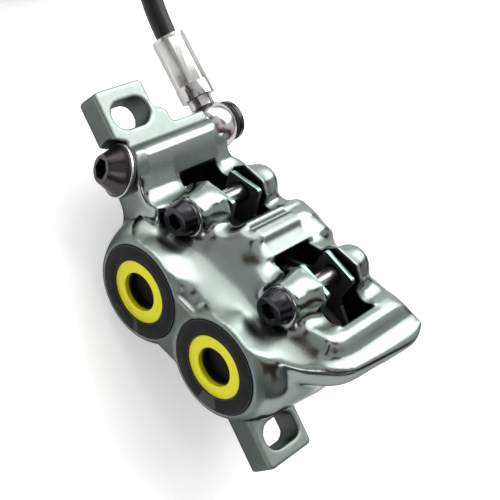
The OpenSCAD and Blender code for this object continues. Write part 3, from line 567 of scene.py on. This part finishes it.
# forms moved before the skin flows (mm)
drawn = {
    "frontRadius": 3.75, "frontGrow": ((0.5, -3.2, 2.0), (0.6, 0.0, 3.0)), "frontKeep": 0.25,
    "frontBetween": (-3.6, 3.0), "frontRing": (2.6, 6.4), "frontAbove": -2.5,
    "endReach": 1.3, "endFrom": (26.5, 33.0), "endAbove": (-2, 4),
    "bridge": (-6, 4.7), "bridgeAbove": 13, "bridgeBehind": -3,
    "ribShift": 1.5, "ribFrom": (-5.0, 0.0), "ribTo": (2.4, 4.4),
    "shelfDrop": 0.9, "shelfFrom": (0.3, 1.5), "shelfAbove": 15,
}
co, lx, ly, lz = localPlaces(body)
for bx in boltSides:  # the bosses' round fronts draw in behind the bolt heads
    dx, dz = lx - bx, lz - bodyShape["boltZ"]
    r = np.hypot(dx, dz)
    frontR = drawn["frontRadius"]
    for grow, start, stop in drawn["frontGrow"]:
        frontR = frontR + grow * ease(ly, start, stop)
    (yLow, yHigh), (rLow, rHigh) = drawn["frontBetween"], drawn["frontRing"]
    near = (ly < yHigh) & (ly > yLow) & (r > rLow) & (r < rHigh) & (dz > drawn["frontAbove"])
    k = np.where(near & (r > frontR), (frontR + (r - frontR) * drawn["frontKeep"]) / np.maximum(r, 0.1), 1)
    lx, lz = bx + dx * k, bodyShape["boltZ"] + dz * k
lx = lx + drawn["endReach"] * ease(lx, *drawn["endFrom"]) * ease(lz, *drawn["endAbove"])  # a longer low end
bridgeFrom, bridgeTo = drawn["bridge"]
onBridge = (lz > drawn["bridgeAbove"]) & (lx > bridgeFrom) & (lx < bridgeTo) & (ly > drawn["bridgeBehind"])
shift = drawn["ribShift"] * ease(lx, *drawn["ribFrom"]) * (1 - ease(lx, *drawn["ribTo"]))
lx = lx - np.where(onBridge, shift, 0)  # the lower rib stands further from the low window, before a lower shelf
onShelf = onBridge & (lz > drawn["shelfAbove"])
lz = lz - np.where(onShelf, drawn["shelfDrop"] * ease(lx, *drawn["shelfFrom"]), 0)
back = np.stack([lx * math.cos(lean) - lz * math.sin(lean), ly, lx * math.sin(lean) + lz * math.cos(lean)], 1)
body.data.vertices.foreach_set("co", ((back + np.array(bodyShape["frameAt"])) * mm).ravel())
body.data.update()

# the body's own flowed copy fills the hollows, and the raised forms stay
markForged(body)
deselectAll()
flowed = body.copy()
flowed.data = body.data.copy()
scene.collection.objects.link(flowed)
smoothBody(flowed, "fillSmooth", "forged")
joinInto(body, [flowed])
remeshBody()
forged = markForged(body)
smoothBody(body, "smoothAll")
smoothBody(body, "smoothForged", "forged")
co, lx, ly, lz = localPlaces(body)
melt = {"above": (9.5, 11.5), "ribsTo": (3.2, 5.5), "ribsHalf": (6.5, 8.5), "lowEndShare": 0.35,
        "lowEndFrom": (25.3, 26.8), "lowEndTo": (6, 12)}  # the ribs' ends melt into the saddle, the low end a little
ribEnds = (1 - ease(ly, *melt["ribsTo"])) * (1 - ease(np.abs(lx), *melt["ribsHalf"]))
lowEnd = melt["lowEndShare"] * ease(lx, *melt["lowEndFrom"]) * (1 - ease(ly, *melt["lowEndTo"]))
setWeights(body, "ends", forged * ease(co[:, 2], *melt["above"]) * np.maximum(lowEnd, ribEnds))
smoothBody(body, "smoothEnds", "ends")
print("body flowed")

# how polished each place of the skin is, and the light and shade painted on it (painted shade in the cavity, on
# faces turned down, on the ears' fronts and in creases; painted highlight on outward faces, ear tops and ridges),
# read by its material
skin = {
    "flangeFace": (-13.2, -12.6), "face": (0.8, 0.95), "faceLess": 0.75,
    "windows": ((-24.5, -6.5), (4.4, 24.5)), "cavityWall": (5.45, 5.8), "cavityHalf": 25.2, "cavityTop": 13,
    "cavityShadeDepth": 0.9, "under": (-0.4, 0.45), "undersideShade": 0.64, "outward": (0.75, 0.95), "outwardHighlight": 0.4,
    "facing": 0.7, "earTopHighlight": 1.3, "earFrontShade": 0.85,
    "ridgeGain": 8, "ridgeSpan": (-0.5, 0.6), "ridgeHighlightCreaseShade": (0.72, 1.25),
}


def ridges(obj):  # above 0 on ridges and below in creases, evened out over the neighbours
    mesh = obj.data
    count = len(mesh.vertices)
    edges = np.empty(len(mesh.edges) * 2, np.int64)
    mesh.edges.foreach_get("vertices", edges)
    edges = edges.reshape(-1, 2)
    co, no = meshArray(obj, "co"), meshArray(obj, "normal")
    around, share = np.zeros((count, 3)), np.zeros(count)
    for a, b in ((0, 1), (1, 0)):
        np.add.at(around, edges[:, a], co[edges[:, b]])
        np.add.at(share, edges[:, a], 1)
    curve = -((around / share[:, None] - co) * no).sum(1) / (bodyShape["voxel"] * mm)
    for _ in range(3):
        total = np.zeros(count)
        for a, b in ((0, 1), (1, 0)):
            np.add.at(total, edges[:, a], curve[edges[:, b]])
        curve = 0.5 * curve + 0.5 * total / share
    return curve


def setAttribute(mesh, name, values):
    mesh.attributes.new(name, "FLOAT", "POINT").data.foreach_set("value", values.astype(np.float32))


co, lx, ly, lz = localPlaces(body)
no = meshArray(body, "normal")
outward = -no[:, 0] * math.sin(lean) + no[:, 2] * math.cos(lean)
onEar = earMask(co)
polished = np.where(onEar, 0.0, 1.0) * ease(ly, *skin["flangeFace"])
polished = polished * (1 - skin["faceLess"] * ease(outward, *skin["face"]))
setAttribute(body.data, "polish", forged * polished)
(upFrom, upTo), (downFrom, downTo) = skin["windows"]
inWindow = ((lx > upFrom) & (lx < upTo)) | ((lx > downFrom) & (lx < downTo))
inMiddle = (lz < skin["cavityTop"]) & (np.abs(lx) < skin["cavityHalf"])
inside = np.where(inWindow | inMiddle, 1, 0) * (1 - onEar)
# painted shade: the walls of the pad cavity and the windows are painted darker
cavityShade = (1 - ease(np.abs(ly - bodyShape["rotorY"]), *skin["cavityWall"])) * inside
# painted shade: faces turned down are painted darker
paintedLightAndShade = (1 - skin["cavityShadeDepth"] * cavityShade) * (1 - skin["undersideShade"] * (1 - ease(no[:, 2], *skin["under"])))
paintedLightAndShade *= np.where(onEar, 1, 1 + skin["outwardHighlight"] * ease(outward, *skin["outward"]))  # painted highlight: faces turned away from the rotor are painted paler
# painted highlight on the ears' top faces, painted shade on their front faces
paintedLightAndShade *= np.where(onEar & (no[:, 2] > skin["facing"]), skin["earTopHighlight"], 1)
paintedLightAndShade *= np.where(onEar & (no[:, 1] < -skin["facing"]), skin["earFrontShade"], 1)
# painted highlight on ridges and painted shade in creases
paintedLightAndShade *= np.interp(np.clip(ridges(body) * skin["ridgeGain"], -1, 1), skin["ridgeSpan"], skin["ridgeHighlightCreaseShade"])
setAttribute(body.data, "paintedLightAndShade", paintedLightAndShade)
pick(body)
bpy.ops.object.shade_smooth()
print("body shaped, faces:", len(body.data.polygons))

# forged aluminium: a fine cast grain, and a mirror where it is polished
forgedLook = {
    "cast": {"base": (0.19, 0.216, 0.2), "dark": (0.15, 0.172, 0.16), "rough": (0.38, 0.5), "size": 2600.0},
    "mirror": {"base": (0.25, 0.28, 0.265), "dark": (0.20, 0.225, 0.212), "rough": (0.1, 0.17), "size": 700.0},
    "bump": 0.13,
    "edgeTint": (0.42, 0.44, 0.43, 1),  # keeps the grazing edges from going white
}
material, tree, shader = newMaterial("forgedAluminium")
polish = addNode(tree, "ShaderNodeAttribute", attribute_name="polish").outputs["Fac"]
paintedLightMask = addNode(tree, "ShaderNodeAttribute", attribute_name="paintedLightAndShade").outputs["Fac"]
cast, mirror = useGrain(tree, **forgedLook["cast"]), useGrain(tree, **forgedLook["mirror"])
colour = addMix(tree, "RGBA", polish, cast.outputs["Color"], mirror.outputs["Color"])
rough = addMix(tree, "FLOAT", polish, cast.outputs["Roughness"], mirror.outputs["Roughness"])
# the base colour is scaled by the painted light and shade of the skin
shade = addNode(tree, "ShaderNodeVectorMath", operation="SCALE")
wire(tree, (colour, shade.inputs[0]), (paintedLightMask, shade.inputs["Scale"]),
     (shade.outputs[0], shader.inputs["Base Color"]), (rough, shader.inputs["Roughness"]))
addBump(tree, shader, cast.outputs["Height"], forgedLook["bump"], grain["fineDepth"])
setInputs(shader, {"Metallic": 1.0, "Specular_Tint": forgedLook["edgeTint"]})
finishPiece(body, "caliper_body", material)
print("body done")

# caps of the near bores, and their bright rings
caps = {
    "edge": (0.14, 2), "ringEdge": (0.12, 2), "holeRadius": 5.2, "wear": 0.42,
    "face": {"metallic": 0.6, "base": (0.026, 0.027, 0.029), "dark": (0.036, 0.036, 0.039), "rough": (0.4, 0.52),
             "pitch": 42000.0, "ringBump": 0.05},
    "rim": ((0.35, 0.35, 0.37), (0.04, 0.04, 0.045)),
    "hole": {"metallic": 0.0, "base": (0.002, 0.002, 0.002), "dark": (0.004, 0.004, 0.004), "rough": (0.4, 0.55),
             "Specular_IOR_Level": 0.12},
    "ring": {"metallic": 0.25, "base": (0.80, 0.76, 0.0), "dark": (0.72, 0.70, 0.0), "rough": (0.42, 0.52),
             "pitch": 30000.0, "ringBump": 0.03},
    "ringRim": {"metallic": 0.2, "base": (0.5, 0.62, 0.02), "dark": (0.45, 0.56, 0.01), "rough": (0.3, 0.42)},
}
# painted shade for the blind holes in the caps
paintedHoleShade = plainFinish("paintedHoleShade", **caps["hole"])
for end, side in (("upper", -1), ("lower", 1)):
    along = side * bodyShape["boreX"]
    cx = (bodyShape["frameAt"][0] + along * math.cos(lean)) * mm
    cz = (bodyShape["frameAt"][2] + along * math.sin(lean)) * mm
    capDark = turnedFinish("capAnodised_" + end, (cx, 0, cz), **caps["face"])
    capRim = wornFinish("capRim_" + end, *caps["rim"], caps["wear"])
    cap = softEdges("bore_cap_" + end, "boreCap_" + end, caps["edge"], capDark, capRim)
    cap.data.materials.append(paintedHoleShade)
    for face in cap.data.polygons:  # painted shade: the faces of the blind hole in the middle are painted near black
        if math.hypot(face.center.x - cx, face.center.z - cz) < caps["holeRadius"] * mm:
            face.material_index = 2
    ringYellow = turnedFinish("ringYellow_" + end, (cx, 0, cz), **caps["ring"])
    ringEdge = plainFinish("ringYellowEdge_" + end, **caps["ringRim"])
    softEdges("cap_ring_" + end, "capRing_" + end, caps["ringEdge"], ringYellow, ringEdge)
print("caps done")

seals = {
    "edge": (0.16, 3),
    "rubber": {"metallic": 0.0, "base": (0.015, 0.015, 0.016), "dark": (0.03, 0.03, 0.03), "rough": (0.42, 0.6),
               "size": 1500, "bump": 0.08},
}
sealRubber = plainFinish("sealRubber", **seals["rubber"])
for node, piece in (("cap_seals", "capSeals"), ("piston_seals", "pistonSeals"), ("bleed_seal", "bleedSeal")):
    softEdges(node, piece, seals["edge"], sealRubber)
print("seals done")

# pistons with their magnets, and the pads: painted plates whose outward-facing edges are bare stamped metal with a
# painted highlight, linings bonded on
pads = {
    "pistonEdge": (0.25, 3), "magnetEdge": (0.15, 2), "plateBareEdgeAndHighlight": (0.12, 2), "liningEdge": (0.3, 2),
    "bareHighlightFrom": 0.75,  # how far outward a plate's edge faces to be bare and pale: bare metal with a painted highlight along the top
    "piston": {"metallic": 0.9, "base": (0.30, 0.30, 0.31), "dark": (0.24, 0.24, 0.25), "rough": (0.22, 0.34),
               "size": 1200},
    "magnet": {"metallic": 1.0, "base": (0.55, 0.55, 0.56), "dark": (0.48, 0.48, 0.5), "rough": (0.25, 0.35)},
    "paint": {"metallic": 0.3, "base": (0.02, 0.02, 0.022), "dark": (0.035, 0.035, 0.038), "rough": (0.4, 0.55),
              "size": 1500, "bump": 0.1},
    "bareEdgeAndHighlight": {"metallic": 0.75, "base": (0.30, 0.44, 0.41), "dark": (0.22, 0.34, 0.32), "rough": (0.3, 0.42),
             "size": 1500, "bump": 0.05},
    "flecks": [(0.0, (0.30, 0.17, 0.09)), (0.16, (0.035, 0.031, 0.028)), (1.0, (0.018, 0.017, 0.017))],
    "fleckSize": 2600.0, "fleckBump": 0.25, "liningRough": 0.8,
}
pistonSkin = plainFinish("pistonSkin", **pads["piston"])
magnetSkin = plainFinish("magnetSkin", **pads["magnet"])
platePaint = plainFinish("platePaint", **pads["paint"])
plateBareEdgeAndHighlight = plainFinish("plateBareEdgeAndHighlight", **pads["bareEdgeAndHighlight"])
lining, tree, shader = newMaterial("liningCompound")  # copper-coloured flecks in a dark compound
place = addNode(tree, "ShaderNodeTexCoord")
flecks = addNode(tree, "ShaderNodeTexVoronoi", Scale=pads["fleckSize"], Randomness=1.0)
wire(tree, (place.outputs["Object"], flecks.inputs["Vector"]))
fleckTone = ramp(tree, pads["flecks"], flecks.outputs["Distance"])
wire(tree, (fleckTone.outputs["Color"], shader.inputs["Base Color"]))
addBump(tree, shader, flecks.outputs["Distance"], pads["fleckBump"], grain["fineDepth"])
setInputs(shader, {"Roughness": pads["liningRough"]})
for side in ("near", "far"):
    for end in ("upper", "lower"):
        tag, tail = side + "_" + end, side + end.title()
        softEdges("piston_" + tag, "piston_" + tail, pads["pistonEdge"], pistonSkin)
        softEdges("magnet_" + tag, "magnet_" + tail, pads["magnetEdge"], magnetSkin)
        plate = softEdges("pad_plate_" + tag, "padPlate_" + tail, pads["plateBareEdgeAndHighlight"], platePaint, plateBareEdgeAndHighlight)
        # only edges facing outward get the pale bare finish, a painted highlight along the plate tops; the side
        # edges keep the black paint
        for face in plate.data.polygons:
            outward = face.normal.z * math.cos(lean) - face.normal.x * math.sin(lean)
            face.material_index = 1 if outward > pads["bareHighlightFrom"] else 0
        softEdges("pad_lining_" + tag, "padLining_" + tail, pads["liningEdge"], lining)
print("pistons and pads done")

# pad bolts: black heads, bright shanks
padBoltLook = {
    "edge": (0.18, 3), "at": ((-12.35, 11.581), (11.126, 25.967)), "headReach": 6,
    "base": -3.3, "face": -6.6, "baseShare": 0.87, "faceShare": 1.06, "collar": 0.4,
    "head": (0.045, 0.044, 0.05, 1), "shank": (0.3, 0.29, 0.28, 1), "shankFrom": (0.0005, 0.0008),
    "grain": {"base": (1, 1, 1), "dark": (0.8, 0.8, 0.8), "rough": (0.15, 0.25), "size": 1400.0},
    "rim": ((0.75, 0.75, 0.74), (0.05, 0.048, 0.05)), "wear": 0.5,
}
boltRim = wornFinish("boltRim", *padBoltLook["rim"], padBoltLook["wear"])
padBoltSteel, tree, shader = newMaterial("padBoltSteel")
place = addNode(tree, "ShaderNodeTexCoord")
split = addNode(tree, "ShaderNodeSeparateXYZ")
onShank = addNode(tree, "ShaderNodeMapRange", From_Min=padBoltLook["shankFrom"][0],
                  From_Max=padBoltLook["shankFrom"][1])
wire(tree, (place.outputs["Object"], split.inputs[0]), (split.outputs["Y"], onShank.inputs["Value"]))
boltTone = addMix(tree, "RGBA", onShank.outputs[0], padBoltLook["head"], padBoltLook["shank"])
boltGrain = useGrain(tree, **padBoltLook["grain"])
colour = addMix(tree, "RGBA", 1.0, boltTone, boltGrain.outputs["Color"], blend_type="MULTIPLY")
wire(tree, (colour, shader.inputs["Base Color"]), (boltGrain.outputs["Roughness"], shader.inputs["Roughness"]))
setInputs(shader, {"Metallic": 1.0})
padBolts = softEdges("pad_bolts", "padBolts", padBoltLook["edge"], padBoltSteel, boltRim)
headBase, headFace = padBoltLook["base"], padBoltLook["face"]
for v in padBolts.data.vertices:  # a slimmer taper for the heads
    if v.co.y > (headBase + padBoltLook["collar"]) * mm:
        continue
    share = min(max((v.co.y / mm - headBase) / (headFace - headBase), 0), 1)
    k = padBoltLook["baseShare"] + (padBoltLook["faceShare"] - padBoltLook["baseShare"]) * share
    for bx, bz in padBoltLook["at"]:
        if abs(v.co.x / mm - bx) < padBoltLook["headReach"]:
            v.co.x = (bx + (v.co.x / mm - bx) * k) * mm
            v.co.z = (bz + (v.co.z / mm - bz) * k) * mm
print("pad bolts done")

# bleed screw, banjo bolt and their washers
fasteners = {
    "screwEdge": (0.2, 3), "boltEdge": (0.3, 3), "washerEdge": (0.1, 2),
    "screw": {"metallic": 0.9, "base": (0.035, 0.031, 0.032), "dark": (0.055, 0.048, 0.048), "rough": (0.2, 0.3),
              "size": 1300, "bump": 0.04},
    "bolt": {"metallic": 0.85, "base": (0.03, 0.03, 0.033), "dark": (0.045, 0.044, 0.048), "rough": (0.16, 0.26),
             "size": 1100, "bump": 0.03},
    "washer": {"metallic": 1.0, "base": (0.72, 0.72, 0.7), "dark": (0.62, 0.62, 0.6), "rough": (0.2, 0.32),
               "size": 1300},
}
screwBlack = plainFinish("screwBlack", **fasteners["screw"])
boltBlack = plainFinish("boltBlack", **fasteners["bolt"])
softEdges("bleed_screw", "bleedScrew", fasteners["screwEdge"], screwBlack, boltRim)
softEdges("banjo_bolt", "banjoBolt", fasteners["boltEdge"], boltBlack, boltRim)
washerBright = plainFinish("washerBright", **fasteners["washer"])
for node, piece, material in (("bleed_washer", "bleedWasher", washerBright),
                              ("banjo_inner_seal", "banjoInnerSeal", washerBright),
                              ("banjo_outer_seal", "banjoOuterSeal", sealRubber)):
    softEdges(node, piece, fasteners["washerEdge"], material)
print("fasteners done")

# banjo, crimp sleeve and barb
hoseEnd = {
    "banjoEdge": (0.3, 3), "sleeveEdge": (0.25, 3), "flatsFrom": 20, "barbEdge": (0.1, 2),
    "banjo": {"metallic": 1.0, "base": (0.56, 0.53, 0.51), "dark": (0.40, 0.38, 0.39), "rough": (0.14, 0.24),
              "size": 800, "Specular_Tint": (0.45, 0.44, 0.44, 1)},
    "sleeve": {"metallic": 1.0, "base": (0.62, 0.62, 0.60), "dark": (0.44, 0.44, 0.425), "rough": (0.26, 0.36),
               "size": 900, "Specular_Tint": (0.4, 0.4, 0.4, 1)},
    "brass": {"metallic": 1.0, "base": (0.72, 0.53, 0.25), "dark": (0.62, 0.45, 0.2), "rough": (0.2, 0.3),
              "size": 1200},
}
banjoSteel = plainFinish("banjoSteel", **hoseEnd["banjo"])
sleeveSteel = plainFinish("sleeveSteel", **hoseEnd["sleeve"])
brass = plainFinish("turnedBrass", **hoseEnd["brass"])
softEdges("banjo_fitting", "banjoFitting", hoseEnd["banjoEdge"], banjoSteel)
softEdges("crimp_sleeve", "crimpSleeve", hoseEnd["sleeveEdge"], sleeveSteel, limit=hoseEnd["flatsFrom"])
softEdges("hose_barb", "hoseBarb", hoseEnd["barbEdge"], brass)
print("hose end done")

# lever end of the hose, and the strap round its coil
leverEnd = {
    "oliveEdge": (0.2, 2), "insertEdge": (0.1, 2), "nutEdge": (0.3, 3), "strapEdge": (0.25, 3),
    "nut": {"metallic": 0.8, "base": (0.03, 0.03, 0.032), "dark": (0.05, 0.05, 0.052), "rough": (0.25, 0.36),
            "size": 1100},
    "strap": {"metallic": 0.0, "base": (0.02, 0.02, 0.02), "dark": (0.03, 0.03, 0.03), "rough": (0.4, 0.55),
              "size": 1500, "bump": 0.1},
}
nutBlack = plainFinish("nutBlack", **leverEnd["nut"])
strapPlastic = plainFinish("strapPlastic", **leverEnd["strap"])
leverPieces = [
    softEdges("hose_olive", "hoseOlive", leverEnd["oliveEdge"], brass),
    softEdges("hose_insert", "hoseInsert", leverEnd["insertEdge"], brass),
    softEdges("hose_nut", "hoseNut", leverEnd["nutEdge"], nutBlack, boltRim),
    softEdges("coil_tie", "coilTie", leverEnd["strapEdge"], strapPlastic),
]
print("lever end done")

# pale floor, white to whatever looks past the object, and a studio bay of soft screens
studio = {
    "floorZ": -14.95, "floorSize": 6, "floorTone": 0.86, "floorRough": 0.9, "floorGlow": 0.42,
    "brightTowards": (-0.45, 0.45, 0.77), "from": (-0.7, 0.75), "level": (0.12, 0.95),
    "patchSize": 2.1, "patchDetail": 2.0, "patchRough": 0.45,
    "patches": [(0.38, (0.09, 0.06, 0.05)), (0.45, (0.34, 0.23, 0.17)), (0.5, (0.86, 0.9, 0.95)),
                (0.7, (1.0, 1.0, 1.0))],
}


def rayMask(tree, *rays):  # 1 for each of the named kinds of ray
    path = addNode(tree, "ShaderNodeLightPath")
    mask = path.outputs[rays[0]]
    for ray in rays[1:]:
        either = addNode(tree, "ShaderNodeMath", operation="MAXIMUM")
        wire(tree, (mask, either.inputs[0]), (path.outputs[ray], either.inputs[1]))
        mask = either.outputs[0]
    return mask


deselectAll()
bpy.ops.mesh.primitive_plane_add(size=studio["floorSize"], location=(0, 0, studio["floorZ"] * mm))
floor = bpy.context.object
floor.name = "studioFloor"
material, tree, shader = newMaterial("paleFloor")
setInputs(shader, {"Base_Color": (*[studio["floorTone"]] * 3, 1), "Roughness": studio["floorRough"],
                   "Specular_IOR_Level": 0.0, "Emission_Color": (1, 1, 1, 1)})
glow = addNode(tree, "ShaderNodeMath", operation="MULTIPLY")
glow.inputs[1].default_value = studio["floorGlow"]
wire(tree, (rayMask(tree, "Is Camera Ray", "Is Glossy Ray", "Is Transmission Ray"), glow.inputs[0]),
     (glow.outputs[0], shader.inputs["Emission Strength"]))
floor.data.materials.append(material)

world = bpy.data.worlds.new("studioWorld")
scene.world = world
world.use_nodes = True
tree = world.node_tree
sky = tree.nodes["Background"]
place = addNode(tree, "ShaderNodeTexCoord")
toward = addNode(tree, "ShaderNodeVectorMath", operation="DOT_PRODUCT")  # brighter up and behind, darker in front
toward.inputs[1].default_value = studio["brightTowards"]
level = addNode(tree, "ShaderNodeMapRange", interpolation_type="SMOOTHSTEP", From_Min=studio["from"][0],
                From_Max=studio["from"][1], To_Min=studio["level"][0], To_Max=studio["level"][1])
patches = addNode(tree, "ShaderNodeTexNoise", Scale=studio["patchSize"], Detail=studio["patchDetail"],
                  Roughness=studio["patchRough"])
screens = ramp(tree, studio["patches"], patches.outputs["Fac"])  # dark and brownish gaps between white screens
plain = addNode(tree, "ShaderNodeBackground", Color=(1, 1, 1, 1), Strength=1.0)
blend = addNode(tree, "ShaderNodeMixShader")
wire(tree,
     (place.outputs["Generated"], toward.inputs[0]),
     (place.outputs["Generated"], patches.inputs["Vector"]),
     (toward.outputs["Value"], level.inputs["Value"]),
     (level.outputs[0], sky.inputs["Strength"]),
     (screens.outputs["Color"], sky.inputs["Color"]),
     (rayMask(tree, "Is Camera Ray", "Is Transmission Ray"), blend.inputs["Fac"]),
     (sky.outputs[0], blend.inputs[1]),
     (plain.outputs[0], blend.inputs[2]),
     (blend.outputs[0], tree.nodes["World Output"].inputs["Surface"]))

lamps = {  # place in metres, size in metres, power in watts
    "backTopLamp": ((-0.32, 0.5, 0.62), (0.85, 0.75), 9.0),
    "leftLamp": ((-0.75, 0.1, 0.5), (0.5, 0.7), 2.4),
    "frontLamp": ((0.3, -0.7, 0.6), (0.4, 0.3), 0.96),
}
for name, (at, (width, height), power) in lamps.items():
    data = bpy.data.lights.new(name, "AREA")
    data.shape = "RECTANGLE"
    data.size = width
    data.size_y = height
    data.energy = power
    lamp = bpy.data.objects.new(name, data)
    lamp.location = at
    lamp.rotation_euler = (-Vector(at)).to_track_quat("-Z", "Y").to_euler()  # towards the object
    scene.collection.objects.link(lamp)
print("studio set")
